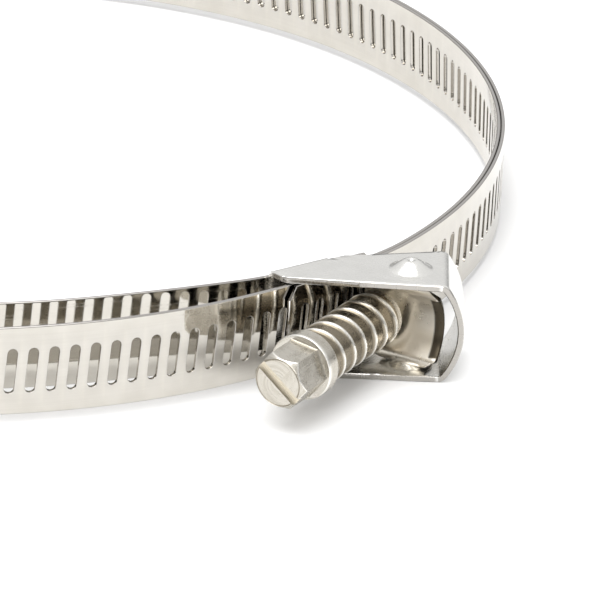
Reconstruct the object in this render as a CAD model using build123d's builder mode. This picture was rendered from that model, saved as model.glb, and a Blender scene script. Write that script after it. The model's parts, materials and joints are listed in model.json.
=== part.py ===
"""Quick-release worm-drive duct clamp: slotted strip wound twice, channel housing, swing-out screw.

Millimetres. The origin is the centre of the clamped duct at half the strip's width, +Z runs
along the duct, and the housing sits on the -Y side with its base wall parallel to X.
"""
from build123d import *
import os
from math import atan2, cos, degrees, radians, sin

# ---- driving dimensions ----------------------------------------------------------------------
STRIP_WIDTH = 14.29        # 9/16 inch strip
STRIP_THICK = 0.65
LAYER_PITCH = 0.72         # strip thickness and the air left between the two turns
BORE_RADIUS = 89.5         # inner face of the round part of the loop

SLOT_PITCH = 3.175         # one screw turn feeds one slot
SLOT_LENGTH = 7.3
SLOT_WIDTH = 1.55
SLOT_LEAN = 5.8            # degrees, the lead angle of the worm
TIP_MARGIN = 2.9           # from the free end to the first slot
SLOTS_START = 150.0        # degrees round the first turn where the slots begin
TIP_CHAMFER = 1.9

SHEET = 1.0                # housing sheet
CHANNEL_HEIGHT = 14.7      # between the two flanges
BASE_REAR_Y = -93.1
BASE_X = (1.3, 11.8)
BEND_RADIUS = 0.85         # outer radius of the housing's bends
END_WALL_BOW = 3.0         # how far the end wall bulges at half height
FRONT_SLANT = 1.3          # the bottom flange ends this much short of the top one

PIVOT = (20.5, -103.8)     # swing axis of the screw
DOME_RADIUS = 2.9          # pivot dome pressed into each flange
TOP_DOME_HEIGHT = 1.5
BOTTOM_DOME_HEIGHT = 1.3
DOME_WALL = 0.45           # a hollow is this much smaller than its dome
DOME_PIT = 0.45            # radius of the punch mark on the top dome
CORNER_RADIUS = 0.6
CHANNEL_REACH = 8.0        # the channel between the flanges is cut this far past their outline
BITE = 0.2                 # depth by which a dome's solid enters its sheet
SKIM = 0.01                # start of a hollow below the sheet's face

SWIVEL_SHEET = 0.8
SWIVEL_BOW_RADIUS = 8.2    # back plate, middle of the sheet
SWIVEL_BOW_TOP = 0.3       # place of the middle of the sheet along the screw, from the pivot
SWIVEL_INNER_EDGE = 7.5    # from the pivot toward the strip
SWIVEL_OUTER_EDGE = 6.0
EAR_GAP = 0.25             # between an ear and its flange
EAR_RADIUS = 4.0
BEND_RISE = 0.9            # height of the bend between the back plate and an ear
EAR_DOMES = ((2.1, 1.1), (1.5, 0.9))         # upper ear: dome, hollow (radius, height)
LOWER_EAR_DOMES = ((3.3, 1.45), (2.75, 1.4))  # lower ear, wide enough for the housing's dome
JOURNAL_CUT = 6.0          # half length of the cut that makes the journal hole

SCREW_ANGLE = 25.0         # degrees from the base wall, swung out
SCREW_OFFSET = 4.4         # from the swing axis toward the strip
SCREW_LENGTH = 31.9        # from the head's face to the foot of the swing axis
HEX_ACROSS_FLATS = 7.94    # 5/16 inch
HEX_HEIGHT = 6.6
HEX_CHAMFER_RADIUS = 3.85
HEX_CHAMFER_SLOPE = 35.0   # degrees from the axis
COLLAR_RADIUS = 5.2
COLLAR_END = 9.2
NECK_RADIUS = 3.9
THREAD_START = 10.3
THREAD_END = 29.2
THREAD_RADIUS = 4.55
ROOT_RADIUS = 4.15
SHOULDER_RADIUS = 4.1
SHOULDER_END = 30.4
JOURNAL_RADIUS = 2.5
JOURNAL_GAP = 0.05
TAIL_RADIUS = 3.4
TAIL_START = 32.9
TAIL_END = 33.9
RIDGE_HALF_BASE = 0.6
RIDGE_HALF_CREST = 0.17
RIDGE_RUN_OUT = 0.9        # the ridge stops this far short of each end of the thread
TAIL_TAPER = 20.0
DRIVER_SLOT = (1.45, 1.3)  # width, depth
SCREW_TURN = 38.0          # degrees the hexagon is turned about its axis

os.makedirs("parts", exist_ok=True)


def direction(angle):
    """Unit vector in the XY plane at an angle in degrees."""
    return Vector(cos(radians(angle)), sin(radians(angle)))


def radius_to_circle(point, normal_angle, circle_radius):
    """Radius of the arc that leaves point at normal_angle and meets the circle about the origin."""
    along = point.dot(direction(normal_angle))
    return (point.length**2 - circle_radius**2) / (2 * (along - circle_radius))


class ArcChain:
    """Tangent arcs, all turning clockwise, that carry the middle of the strip's thickness."""

    def __init__(self, point, normal_angle):
        self.point = point
        self.angle = normal_angle
        self.arcs = []

    def turn_to(self, radius, end_angle):
        centre = self.point - direction(self.angle) * radius
        self.arcs.append((centre, radius, self.angle, end_angle))
        self.point = centre + direction(end_angle) * radius
        self.angle = end_angle

    def join_circle(self, circle_radius):
        """Arc to the circle about the origin, ending where the two are tangent."""
        radius = radius_to_circle(self.point, self.angle, circle_radius)
        centre = self.point - direction(self.angle) * radius
        toward = degrees(atan2(-centre.Y, -centre.X))
        self.turn_to(radius, self.angle - (self.angle - toward) % 360)

    def length(self):
        return sum(radians(start - end) * radius for _, radius, start, end in self.arcs)

    def at(self, distance):
        """Point and normal angle at a distance along the chain."""
        for centre, radius, start, end in self.arcs:
            span = radians(start - end) * radius
            if distance <= span:
                angle = start - degrees(distance / radius)
                return centre + direction(angle) * radius, angle
            distance -= span
        return self.point, self.angle


# ---- strip: fixed lead, first turn, pass through the housing, second turn, free end -----------
LEAD_END = Vector(21.4, BASE_REAR_Y + STRIP_THICK / 2)
LEAD_START = Vector(4.5, BASE_REAR_Y + STRIP_THICK / 2)
INNER_RING = BORE_RADIUS + STRIP_THICK / 2
OUTER_RING = INNER_RING + LAYER_PITCH
SIDE_RADIUS = 98.0         # flatter right side of the loop, first turn
SIDE_START = 5.0
SIDE_END = -69.0

KNEE_RADIUS = 38.0         # tight bend that turns the loop toward the housing
KNEE_END = -79.4
LEAD_BEND = (36.0, 258.5)  # radius, normal angle at its end: first turn leaves the base wall
PASS = ((400.0, -81.9), (33.0, -87.0), (94.0, -125.0))  # the same, through and past the housing
TIP_STRETCH = (900.0, -80.6 - 360)

chain = ArcChain(LEAD_START, -90 + 360)
chain.turn_to(*LEAD_BEND)
chain.join_circle(INNER_RING)
chain.turn_to(INNER_RING, SIDE_START)
chain.turn_to(SIDE_RADIUS, SIDE_END)
chain.turn_to(KNEE_RADIUS, KNEE_END)
for stretch in PASS:
    chain.turn_to(*stretch)
chain.join_circle(OUTER_RING)
chain.turn_to(OUTER_RING, SIDE_START - 360)
chain.turn_to(SIDE_RADIUS + LAYER_PITCH, SIDE_END - 360)
chain.turn_to(KNEE_RADIUS + LAYER_PITCH, KNEE_END - 360)
chain.turn_to(*TIP_STRETCH)

slots_from = 0.0
for arc_centre, arc_radius, arc_start, arc_end in chain.arcs:
    if arc_end < SLOTS_START <= arc_start:
        slots_from += radians(arc_start - SLOTS_START) * arc_radius
        break
    slots_from += radians(arc_start - arc_end) * arc_radius
slot_count = int((chain.length() - TIP_MARGIN - slots_from) / SLOT_PITCH) + 1


def slot_plane(distance):
    """Plane on the strip's outer side, X to the right as seen from outside, Y up."""
    point, angle = chain.at(distance)
    return Plane(origin=(point.X, point.Y, 0), x_dir=direction(angle + 90), z_dir=direction(angle))


slot_planes = []
for index in range(slot_count):
    slot_planes.append(slot_plane(chain.length() - TIP_MARGIN - index * SLOT_PITCH))

half = STRIP_THICK / 2
with BuildPart() as band_strip:
    with BuildSketch(Plane.XY.offset(-STRIP_WIDTH / 2)):
        with BuildLine():
            Line(LEAD_END + (0, half), LEAD_END - (0, half))
            Line(LEAD_END + (0, half), LEAD_START + (0, half))
            Line(LEAD_END - (0, half), LEAD_START - (0, half))
            for arc_centre, arc_radius, arc_start, arc_end in chain.arcs:
                CenterArc(arc_centre, arc_radius + half, arc_start, arc_end - arc_start)
                CenterArc(arc_centre, arc_radius - half, arc_start, arc_end - arc_start)
            Line(chain.point + direction(chain.angle) * half, chain.point - direction(chain.angle) * half)
        make_face()
    extrude(amount=STRIP_WIDTH)
    # both ends have their corners cut off
    tip_edges = band_strip.edges().filter_by(
        lambda e: e.length < STRIP_THICK * 1.01 and abs(e.center().Z) > STRIP_WIDTH / 2 - 0.01
    )
    chamfer(tip_edges, TIP_CHAMFER)
    with BuildSketch(*slot_planes):
        SlotOverall(SLOT_LENGTH, SLOT_WIDTH, rotation=90 - SLOT_LEAN)
    extrude(amount=LAYER_PITCH / 2, both=True, mode=Mode.SUBTRACT)  # stays clear of the other turn
band_strip.part.label = "band_strip"

# ---- housing: two flanges, short base wall against the lead, bowed end wall ------------------
FLANGE = [
    (BASE_X[0], BASE_REAR_Y),
    (BASE_X[1], BASE_REAR_Y),
    (29.3, -101.0),
    (21.2, -112.3),
    (1.7, -96.7),
]
wall_start = Vector(*FLANGE[2])
wall_end = Vector(*FLANGE[3])
wall_along = (wall_end - wall_start).normalized()
wall_plane = Plane(
    origin=(wall_start.X, wall_start.Y, 0),
    x_dir=(-wall_along.Y, wall_along.X, 0),
    z_dir=(wall_along.X, wall_along.Y, 0),
)
outer_height = CHANNEL_HEIGHT / 2 + SHEET
bow_radius = (outer_height**2 + END_WALL_BOW**2) / (2 * END_WALL_BOW)
top_front = Vector(wall_end.X, wall_end.Y, outer_height)
bottom_front = Vector(wall_end.X, wall_end.Y, -outer_height) - wall_along * FRONT_SLANT
bottom_nose = Vector(*FLANGE[4], -outer_height)
front_edge = (bottom_nose - bottom_front).normalized()
front_plane = Plane(
    origin=bottom_front,
    x_dir=front_edge,
    z_dir=front_edge.cross(top_front - bottom_front).normalized(),
)


def dome(plane_height, base_radius, height):
    """Spherical cap rising from plane_height on the swing axis, to add or cut."""
    sphere_radius = (base_radius**2 + height**2) / (2 * height)
    with BuildPart() as cap:
        with Locations((PIVOT[0], PIVOT[1], plane_height + height - sphere_radius)):
            Sphere(sphere_radius)
        split(bisect_by=Plane.XY.offset(plane_height))
    return cap.part


top_dome = dome(outer_height - BITE, DOME_RADIUS, TOP_DOME_HEIGHT + BITE)
top_hollow = dome(CHANNEL_HEIGHT / 2 - SKIM, DOME_RADIUS - DOME_WALL, TOP_DOME_HEIGHT)
bottom_dome = dome(
    -CHANNEL_HEIGHT / 2 - BITE, DOME_RADIUS - DOME_WALL, BOTTOM_DOME_HEIGHT + BITE / 2
)
bottom_hollow = dome(
    -outer_height - SKIM, DOME_RADIUS - 2 * DOME_WALL, BOTTOM_DOME_HEIGHT - BITE / 2
)


with BuildPart() as housing:
    with BuildSketch(Plane.XY.offset(-outer_height)):
        with BuildLine():
            Polyline(*FLANGE, close=True)
        make_face()
    extrude(amount=2 * outer_height)
    with BuildSketch(Plane.XY.offset(-CHANNEL_HEIGHT / 2)):
        with BuildLine():
            Polyline(*FLANGE, close=True)
        make_face()
        offset(amount=CHANNEL_REACH)
    extrude(amount=CHANNEL_HEIGHT, mode=Mode.SUBTRACT)
    with BuildSketch(Plane.XY.offset(-outer_height)):
        with Locations(((BASE_X[0] + BASE_X[1]) / 2, BASE_REAR_Y - SHEET / 2)):
            Rectangle(BASE_X[1] - BASE_X[0], SHEET)
    extrude(amount=2 * outer_height)
    with BuildSketch(wall_plane):
        with BuildLine():
            ThreePointArc((0, -outer_height), (END_WALL_BOW, 0), (0, outer_height))
            Line((0, outer_height), (-SHEET, CHANNEL_HEIGHT / 2))
            ThreePointArc(
                (-SHEET, -CHANNEL_HEIGHT / 2), (END_WALL_BOW - SHEET, 0), (-SHEET, CHANNEL_HEIGHT / 2)
            )
            Line((-SHEET, -CHANNEL_HEIGHT / 2), (0, -outer_height))
        make_face()
    extrude(amount=(wall_end - wall_start).length)
    base_bends = housing.edges().filter_by(Axis.X).filter_by(
        lambda e: abs(e.center().Y - BASE_REAR_Y) < 0.01 and abs(abs(e.center().Z) - outer_height) < 0.01
    )
    fillet(base_bends, BEND_RADIUS)
    corners = housing.edges().filter_by(Axis.Z).filter_by(
        lambda e: abs(e.center().Z) > CHANNEL_HEIGHT / 2 and abs(e.center().Y - FLANGE[4][1]) < 0.01
    )
    fillet(corners, CORNER_RADIUS)
    split(bisect_by=front_plane)
    add(top_dome)
    add(top_hollow, mode=Mode.SUBTRACT)
    with Locations((PIVOT[0], PIVOT[1], outer_height + TOP_DOME_HEIGHT)):
        Sphere(DOME_PIT, mode=Mode.SUBTRACT)
    add(bottom_dome)
    add(bottom_hollow, mode=Mode.SUBTRACT)
housing.part.label = "housing"

# ---- swivel bracket: bowed back plate with the journal hole, two ears on the swing axis -------
screw_dir = direction(SCREW_ANGLE)
screw_side = direction(SCREW_ANGLE - 90)
foot = Vector(*PIVOT) - screw_side * SCREW_OFFSET
pivot_point = Vector(*PIVOT)
inner_side = pivot_point - screw_side * SWIVEL_INNER_EDGE
swivel_plane = Plane(
    origin=(inner_side.X, inner_side.Y, 0),
    x_dir=(screw_dir.X, screw_dir.Y, 0),
    z_dir=(screw_side.X, screw_side.Y, 0),
)
ear_plane_high = CHANNEL_HEIGHT / 2 - EAR_GAP
ear_middle = ear_plane_high - SWIVEL_SHEET / 2
bow_centre = SWIVEL_BOW_TOP - SWIVEL_BOW_RADIUS
bow_half_height = ear_middle - BEND_RISE
plate_foot = bow_centre + (SWIVEL_BOW_RADIUS**2 - bow_half_height**2) ** 0.5
ear_end = screw_dir * (plate_foot - SWIVEL_SHEET / 2)
ear_dome = dome(ear_plane_high - BITE, *EAR_DOMES[0])
ear_hollow = dome(ear_plane_high - SWIVEL_SHEET - SKIM, *EAR_DOMES[1])
lower_ear_dome = dome(SWIVEL_SHEET - ear_plane_high - BITE, *LOWER_EAR_DOMES[0])
lower_ear_hollow = dome(-ear_plane_high - SKIM, *LOWER_EAR_DOMES[1])

with BuildPart() as swivel_bracket:
    with BuildSketch(swivel_plane):
        with BuildLine():
            plate = ThreePointArc(
                (plate_foot, -bow_half_height), (SWIVEL_BOW_TOP, 0), (plate_foot, bow_half_height)
            )
        trace(plate, line_width=SWIVEL_SHEET)
    extrude(amount=SWIVEL_INNER_EDGE + SWIVEL_OUTER_EDGE)
    for side in (-1, 1):
        with BuildSketch(Plane.XY.offset(side * ear_middle - SWIVEL_SHEET / 2)):
            with Locations(PIVOT):
                Circle(EAR_RADIUS)
            with BuildLine():
                Polyline(
                    pivot_point + screw_side * EAR_RADIUS,
                    pivot_point - screw_side * EAR_RADIUS,
                    pivot_point - screw_side * EAR_RADIUS + ear_end,
                    pivot_point + screw_side * EAR_RADIUS + ear_end,
                    close=True,
                )
            make_face()
        extrude(amount=SWIVEL_SHEET)
        knee = pivot_point + screw_dir * plate_foot
        knee_start = knee - screw_side * EAR_RADIUS
        knee_plane = Plane(
            origin=(knee_start.X, knee_start.Y, side * (bow_half_height + ear_middle) / 2),
            x_dir=(screw_dir.X, screw_dir.Y, 0),
            z_dir=(screw_side.X, screw_side.Y, 0),
        )
        with BuildSketch(knee_plane):
            Rectangle(SWIVEL_SHEET, ear_middle - bow_half_height + SWIVEL_SHEET)
        extrude(amount=2 * EAR_RADIUS)
    add(ear_dome)
    add(ear_hollow, mode=Mode.SUBTRACT)
    add(lower_ear_dome)
    add(lower_ear_hollow, mode=Mode.SUBTRACT)
    with BuildSketch(Plane(origin=(foot.X, foot.Y, 0), z_dir=(screw_dir.X, screw_dir.Y, 0))):
        Circle(JOURNAL_RADIUS + JOURNAL_GAP)
    extrude(amount=JOURNAL_CUT, both=True, mode=Mode.SUBTRACT)
swivel_bracket.part.label = "swivel_bracket"

# ---- worm screw: slotted hexagon head, collar, thread, journal, upset tail -------------------
head_face = foot - screw_dir * SCREW_LENGTH


def screw_plane(distance):
    """Plane across the screw at a distance from the head's face, facing the tail."""
    point = head_face + screw_dir * distance
    return Plane(origin=(point.X, point.Y, 0), x_dir=(0, 0, 1), z_dir=(screw_dir.X, screw_dir.Y, 0))


with BuildPart() as worm_screw:
    with BuildSketch(screw_plane(0)):
        RegularPolygon(HEX_ACROSS_FLATS / 2, 6, major_radius=False, rotation=SCREW_TURN)
    extrude(amount=HEX_HEIGHT)
    with BuildSketch(screw_plane(0)):
        Circle(HEX_CHAMFER_RADIUS)
    extrude(amount=HEX_HEIGHT, taper=-HEX_CHAMFER_SLOPE, mode=Mode.INTERSECT)
    with BuildSketch(screw_plane(HEX_HEIGHT)):
        Circle(COLLAR_RADIUS)
    extrude(amount=COLLAR_END - HEX_HEIGHT)
    with BuildSketch(screw_plane(COLLAR_END)):
        Circle(NECK_RADIUS)
    extrude(amount=THREAD_START - COLLAR_END)
    with BuildSketch(screw_plane(THREAD_START)):
        Circle(ROOT_RADIUS)
    extrude(amount=THREAD_END - THREAD_START)
    thread_origin = screw_plane(THREAD_START + RIDGE_RUN_OUT).origin
    with BuildLine():
        helix = Helix(
            pitch=SLOT_PITCH,
            height=THREAD_END - THREAD_START - 2 * RIDGE_RUN_OUT,
            radius=ROOT_RADIUS,
            center=thread_origin,
            direction=screw_dir,
        )
    ridge_height = THREAD_RADIUS - ROOT_RADIUS
    with BuildSketch(Plane(origin=helix @ 0, x_dir=screw_dir, z_dir=helix % 0)):
        Polygon(
            (-RIDGE_HALF_BASE, -BITE),
            (RIDGE_HALF_BASE, -BITE),
            (RIDGE_HALF_CREST, ridge_height),
            (-RIDGE_HALF_CREST, ridge_height),
            align=None,
        )
    sweep(path=helix, is_frenet=True)
    with BuildSketch(screw_plane(THREAD_END)):
        Circle(SHOULDER_RADIUS)
    extrude(amount=SHOULDER_END - THREAD_END)
    with BuildSketch(screw_plane(SHOULDER_END)):
        Circle(JOURNAL_RADIUS)
    extrude(amount=TAIL_START - SHOULDER_END)
    with BuildSketch(screw_plane(TAIL_START)):
        Circle(TAIL_RADIUS)
    extrude(amount=TAIL_END - TAIL_START, taper=TAIL_TAPER)
    with BuildSketch(screw_plane(0)):
        Rectangle(DRIVER_SLOT[0], 3 * HEX_ACROSS_FLATS, rotation=SCREW_TURN)
    extrude(amount=DRIVER_SLOT[1], mode=Mode.SUBTRACT)
worm_screw.part.label = "worm_screw"

for piece in (band_strip, housing, swivel_bracket, worm_screw):
    export_step(piece.part, f"parts/{piece.part.label}.step")
    print(piece.part.label, len(piece.part.solids()), round(piece.part.volume, 1))
print("strip length", round(chain.length() + (LEAD_END - LEAD_START).length, 1), "slots", slot_count)
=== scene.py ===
"""Looks of the quick-release duct clamp: strip, housing, swivel bracket and worm screw.

Meshes are worked out in millimetres from a few driving sizes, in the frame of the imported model,
and turned to metres when they are made.
"""
import json
from math import asin, atan2, ceil, cos, degrees, hypot, pi, radians, sin, sqrt, tan

import bmesh
import bpy
import numpy as np
from mathutils import Matrix, Vector, noise


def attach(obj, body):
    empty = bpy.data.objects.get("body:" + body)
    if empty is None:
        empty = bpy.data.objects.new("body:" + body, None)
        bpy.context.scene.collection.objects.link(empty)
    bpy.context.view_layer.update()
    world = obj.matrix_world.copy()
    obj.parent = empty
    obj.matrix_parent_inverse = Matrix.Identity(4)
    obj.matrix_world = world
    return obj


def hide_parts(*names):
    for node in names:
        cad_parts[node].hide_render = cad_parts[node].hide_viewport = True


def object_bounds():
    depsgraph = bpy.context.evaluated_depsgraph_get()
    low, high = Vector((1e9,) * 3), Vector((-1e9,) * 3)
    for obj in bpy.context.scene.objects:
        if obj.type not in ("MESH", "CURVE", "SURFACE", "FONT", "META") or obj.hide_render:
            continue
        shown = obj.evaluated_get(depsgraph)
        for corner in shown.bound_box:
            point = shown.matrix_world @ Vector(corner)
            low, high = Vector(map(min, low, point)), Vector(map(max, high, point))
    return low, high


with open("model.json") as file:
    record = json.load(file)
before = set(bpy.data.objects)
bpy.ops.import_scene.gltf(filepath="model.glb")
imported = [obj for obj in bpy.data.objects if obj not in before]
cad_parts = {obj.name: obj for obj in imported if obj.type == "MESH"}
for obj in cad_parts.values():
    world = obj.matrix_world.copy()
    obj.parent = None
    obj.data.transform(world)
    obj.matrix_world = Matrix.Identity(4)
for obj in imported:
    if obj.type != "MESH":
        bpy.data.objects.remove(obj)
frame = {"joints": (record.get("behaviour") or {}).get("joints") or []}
cad_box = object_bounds()

MM = 0.001
UP = Vector((0, 0, 1))

# ---- sizes in millimetres, the same as the CAD's ---------------------------------------------
STRIP_WIDTH = 14.29
STRIP_THICK = 0.65
LAYER_PITCH = 0.72
BORE_RADIUS = 89.5
SLOT_PITCH = 3.175
SLOT_LENGTH = 7.3
SLOT_WIDTH = 1.55
SLOT_LEAN = 5.8
TIP_MARGIN = 2.9
SLOTS_START = 150.0
TIP_CHAMFER = 1.9
TIP_CUT = 2.3              # how far the free end's corner cuts reach across the strip

SHEET = 1.0
CHANNEL_HEIGHT = 14.7
BASE_REAR_Y = -93.1
BASE_X = (1.3, 11.8)
END_WALL_BOW = 3.0
FRONT_SLANT = 1.3          # the bottom flange ends this much short of the top one
WALL_TAIL = Vector((29.3, -101.0, 0))    # rear and front end of the end wall
WALL_FRONT = Vector((21.2, -112.3, 0))
NOSE = Vector((1.7, -96.7, 0))

SWIVEL_SHEET = 0.8
SWIVEL_BOW_RADIUS = 8.2
SWIVEL_BOW_TOP = 0.3
SWIVEL_INNER_EDGE = 7.5
SWIVEL_OUTER_EDGE = 6.0
EAR_GAP = 0.25
EAR_RADIUS = 4.0

SCREW_LENGTH = 31.9
HEX_ACROSS_FLATS = 7.94
HEX_HEIGHT = 6.6
HEX_CHAMFER_RADIUS = 3.85
HEX_CHAMFER_SLOPE = 35.0
COLLAR_RADIUS = 5.2
COLLAR_END = 9.2
NECK_RADIUS = 3.9
THREAD_START = 10.3
THREAD_END = 29.2
THREAD_RADIUS = 4.55
ROOT_RADIUS = 4.15
SHOULDER_RADIUS = 4.1
SHOULDER_END = 30.4
JOURNAL_RADIUS = 2.5
JOURNAL_HOLE = 2.58        # radius
TAIL_RADIUS = 3.4
TAIL_START = 32.9
TAIL_END = 33.9
DRIVER_SLOT = (1.45, 1.3)  # width, depth
SCREW_TURN = 38.0          # degrees the hexagon is turned about its axis


def joint(name):
    """Place in millimetres and axis of one of the frame's joints."""
    found = next(j for j in frame["joints"] if j["name"] == name)
    return Vector(found["pos_m"]) / MM, Vector(found["axis"])


PIVOT, _ = joint("swivel_swing")
FOOT, SCREW_AXIS = joint("screw_spin")
SCREW_SIDE = SCREW_AXIS.cross(UP)        # away from the strip
HEAD_FACE = FOOT - SCREW_AXIS * SCREW_LENGTH


# ---- mesh helpers ----------------------------------------------------------------------------
EDGE_SHARE = 0.72          # share of a sheet's thickness left at its free edges
SHEET_EDGE_ANGLE = 42      # edges bent more than this many degrees stay sharp
SCREW_EDGE_ANGLE = 32
CUTTER_REACH = 12          # length of the shapes that cut the journal hole and the driver slot
HOLE_SIDES = 64


class Shell:
    """Vertices shared by place, faces, and the grain's coordinates, wear and painted light of each
    vertex.
    """

    def __init__(self):
        self.index = {}
        self.points = []
        self.flow = []
        self.wear_and_painted_light = []
        self.normals = []
        self.faces = []

    def vertex(self, key, point, flow, wear_and_painted_light=0.0, normal=None):
        """Number of the vertex known by a key, made when the key is new."""
        key = tuple(round(value, 4) for value in key)
        if key not in self.index:
            self.index[key] = len(self.points)
            self.points.append(point)
            self.flow.append(flow)
            self.wear_and_painted_light.append(wear_and_painted_light)
            self.normals.append(normal)
        return self.index[key]

    def quads(self, row, other, closed=False):
        """Faces between two rows of vertex numbers."""
        count = len(row) if closed else len(row) - 1
        for i in range(count):
            j = (i + 1) % len(row)
            face = [row[i], row[j], other[j], other[i]]
            if len(set(face)) == 4:
                self.faces.append(face)
            elif len(set(face)) == 3:
                self.faces.append(list(dict.fromkeys(face)))

    def fill(self, rows, closed=False):
        """Faces between each row and the next."""
        for row, following in zip(rows, rows[1:]):
            self.quads(row, following, closed)

    def build(self, name):
        """The object, in metres, with its faces turned outward."""
        mesh = bpy.data.meshes.new(name)
        mesh.from_pydata([Vector(p) * MM for p in self.points], [], self.faces)
        grain = mesh.attributes.new("flow", "FLOAT_VECTOR", "POINT")
        grain.data.foreach_set("vector", np.array(self.flow, np.float32).ravel())
        worn_and_painted_light = mesh.attributes.new("wear_and_painted_light", "FLOAT", "POINT")
        worn_and_painted_light.data.foreach_set("value", np.array(self.wear_and_painted_light, np.float32))
        tidy = bmesh.new()
        tidy.from_mesh(mesh)
        bmesh.ops.recalc_face_normals(tidy, faces=tidy.faces)
        tidy.to_mesh(mesh)
        tidy.free()
        mesh.shade_smooth()
        if self.normals[0] is not None:
            mesh.normals_split_custom_set_from_vertices([tuple(n) for n in self.normals])
        piece = bpy.data.objects.new(name, mesh)
        bpy.context.scene.collection.objects.link(piece)
        return piece


def with_modifiers(piece, *settings):
    """Adds modifiers, given as (type, settings), and applies them all."""
    for kind, values in settings:
        modifier = piece.modifiers.new(kind, kind)
        for key, value in values.items():
            setattr(modifier, key, value)
    bpy.context.view_layer.update()
    graph = bpy.context.evaluated_depsgraph_get()
    done = bpy.data.meshes.new_from_object(piece.evaluated_get(graph), depsgraph=graph)
    piece.modifiers.clear()
    piece.data = done
    return piece


def thickened(piece, thickness):
    """Settings that give a sheet its thickness, a little less of it along its free edges."""
    border = bmesh.new()
    border.from_mesh(piece.data)
    edge_points = [vertex.index for vertex in border.verts if vertex.is_boundary]
    border.free()
    group = piece.vertex_groups.new(name="thickness")
    group.add(range(len(piece.data.vertices)), 1.0, "REPLACE")
    group.add(edge_points, EDGE_SHARE, "REPLACE")
    return {
        "thickness": thickness * MM,
        "offset": 0.0,
        "use_even_offset": True,
        "vertex_group": group.name,
    }


def sharpened(piece, angle):
    """Marks the edges sharper than an angle in degrees and smooths the rest."""
    edges = bmesh.new()
    edges.from_mesh(piece.data)
    for edge in edges.edges:
        edge.smooth = len(edge.link_faces) < 2 or edge.calc_face_angle(0) < radians(angle)
    edges.to_mesh(piece.data)
    edges.free()
    piece.data.shade_smooth()
    return with_modifiers(piece, ("WEIGHTED_NORMAL", {"keep_sharp": True}))


def cut_out(piece, shape, place, turn, *before):
    """Cuts a shape, set at a place in millimetres, out of a piece after its other modifiers."""
    mesh = bpy.data.meshes.new("cutter")
    shape.to_mesh(mesh)
    shape.free()
    cutter = bpy.data.objects.new("cutter", mesh)
    bpy.context.scene.collection.objects.link(cutter)
    cutter.matrix_world = Matrix.Translation(place * MM) @ turn
    bpy.context.view_layer.update()
    settings = {"object": cutter, "operation": "DIFFERENCE", "solver": "EXACT"}
    with_modifiers(piece, *before, ("BOOLEAN", settings))
    bpy.data.objects.remove(cutter)


def dress(piece, body, node, material):
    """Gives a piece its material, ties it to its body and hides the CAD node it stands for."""
    piece.data.materials.clear()
    piece.data.materials.append(material)
    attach(piece, body)
    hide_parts(node)


# ---- strip -----------------------------------------------------------------------------------
def direction(angle):
    return Vector((cos(radians(angle)), sin(radians(angle)), 0))


class ArcChain:
    """A straight lead, then tangent arcs that all turn clockwise: the middle of the strip."""

    def __init__(self, start, lead):
        self.start = start
        self.lead = lead
        self.point = start + Vector((-lead, 0, 0))
        self.angle = 270.0
        self.arcs = []

    def turn_to(self, radius, end_angle):
        centre = self.point - direction(self.angle) * radius
        self.arcs.append((centre, radius, self.angle, end_angle))
        self.point = centre + direction(end_angle) * radius
        self.angle = end_angle

    def join_circle(self, circle_radius):
        """Arc to the circle about the origin, ending where the two are tangent."""
        along = self.point.dot(direction(self.angle))
        radius = (self.point.length**2 - circle_radius**2) / (2 * (along - circle_radius))
        centre = self.point - direction(self.angle) * radius
        toward = degrees(atan2(-centre.y, -centre.x))
        self.turn_to(radius, self.angle - (self.angle - toward) % 360)

    def length(self):
        return self.lead + sum(radians(a - b) * radius for _, radius, a, b in self.arcs)

    def at(self, distance):
        """Point and outward direction at a distance along the strip."""
        if distance <= self.lead:
            return self.start - Vector((distance, 0, 0)), direction(270)
        distance -= self.lead
        for centre, radius, start, end in self.arcs:
            span = radians(start - end) * radius
            if distance <= span + 1e-6:
                angle = start - degrees(distance / radius)
                return centre + direction(angle) * radius, direction(angle)
            distance -= span
        return self.point, direction(self.angle)


LEAD_END_X = 21.4
LEAD_START_X = 4.5
INNER_RING = BORE_RADIUS + STRIP_THICK / 2
OUTER_RING = INNER_RING + LAYER_PITCH
SIDE_RADIUS = 98.0
SIDE_START = 5.0
SIDE_END = -69.0
KNEE_RADIUS = 38.0
KNEE_END = -79.4
LEAD_BEND = (36.0, 258.5)
PASS = ((400.0, -81.9), (33.0, -87.0), (94.0, -125.0))
TIP_STRETCH = (900.0, -80.6 - 360)


def strip_chain():
    start = Vector((LEAD_END_X, BASE_REAR_Y + STRIP_THICK / 2, 0))
    chain = ArcChain(start, LEAD_END_X - LEAD_START_X)
    chain.turn_to(*LEAD_BEND)
    chain.join_circle(INNER_RING)
    slots_from = chain.length() + radians(chain.angle - SLOTS_START) * INNER_RING
    chain.turn_to(INNER_RING, SIDE_START)
    chain.turn_to(SIDE_RADIUS, SIDE_END)
    chain.turn_to(KNEE_RADIUS, KNEE_END)
    for stretch in PASS:
        chain.turn_to(*stretch)
    chain.join_circle(OUTER_RING)
    chain.turn_to(OUTER_RING, SIDE_START - 360)
    chain.turn_to(SIDE_RADIUS + LAYER_PITCH, SIDE_END - 360)
    chain.turn_to(KNEE_RADIUS + LAYER_PITCH, KNEE_END - 360)
    chain.turn_to(*TIP_STRETCH)
    return chain, slots_from


EDGE_ROUND = 0.24          # rounding of the strip's long edges
SLOT_ROUND = 0.09          # rounding of the slots' edges
ROUND_MID = 1 - sqrt(0.5)  # share of a rounding left at its middle
PLAIN_STEP = 1.5
STRIP_HALF = STRIP_THICK / 2
FACE_HALF = STRIP_WIDTH / 2 - EDGE_ROUND
SLOT_STRAIGHT = (SLOT_LENGTH - SLOT_WIDTH) / 2
SIDE_HEIGHTS = [SLOT_STRAIGHT * share for share in (-1, -0.5, 0, 0.5, 1)]
TOP_SHARES = (0.5, 0, -0.5)


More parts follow.
